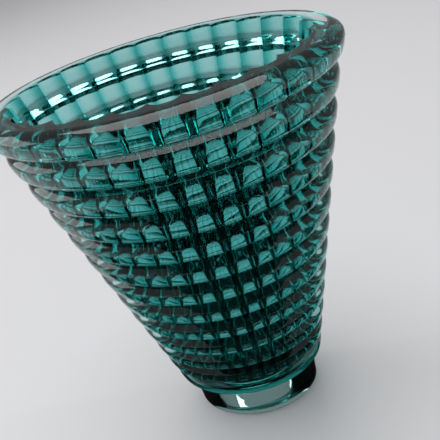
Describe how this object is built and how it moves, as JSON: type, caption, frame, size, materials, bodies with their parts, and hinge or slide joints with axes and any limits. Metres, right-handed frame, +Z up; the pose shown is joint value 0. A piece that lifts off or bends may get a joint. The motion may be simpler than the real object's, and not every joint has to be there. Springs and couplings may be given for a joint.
{
  "type": "cut crystal vase",
  "caption": "Oval tapering cut crystal vase: clear outer layer with level ribs and a thick foot, teal inner cup with upright flutes.",
  "frame": {"origin": "middle of the flat base, on the surface that the vase stands on", "axes": "+Z up through the mouth; +X along the long axis of the oval; +Y along its short axis"},
  "size_m": [0.1708, 0.118, 0.24],
  "materials": {
    "clear_crystal": "polished clear crystal",
    "teal_crystal": "polished teal crystal"
  },
  "bodies": {
    "root": {"clear_casing": "clear_crystal", "teal_lining": "teal_crystal"}
  },
  "joints": []
}
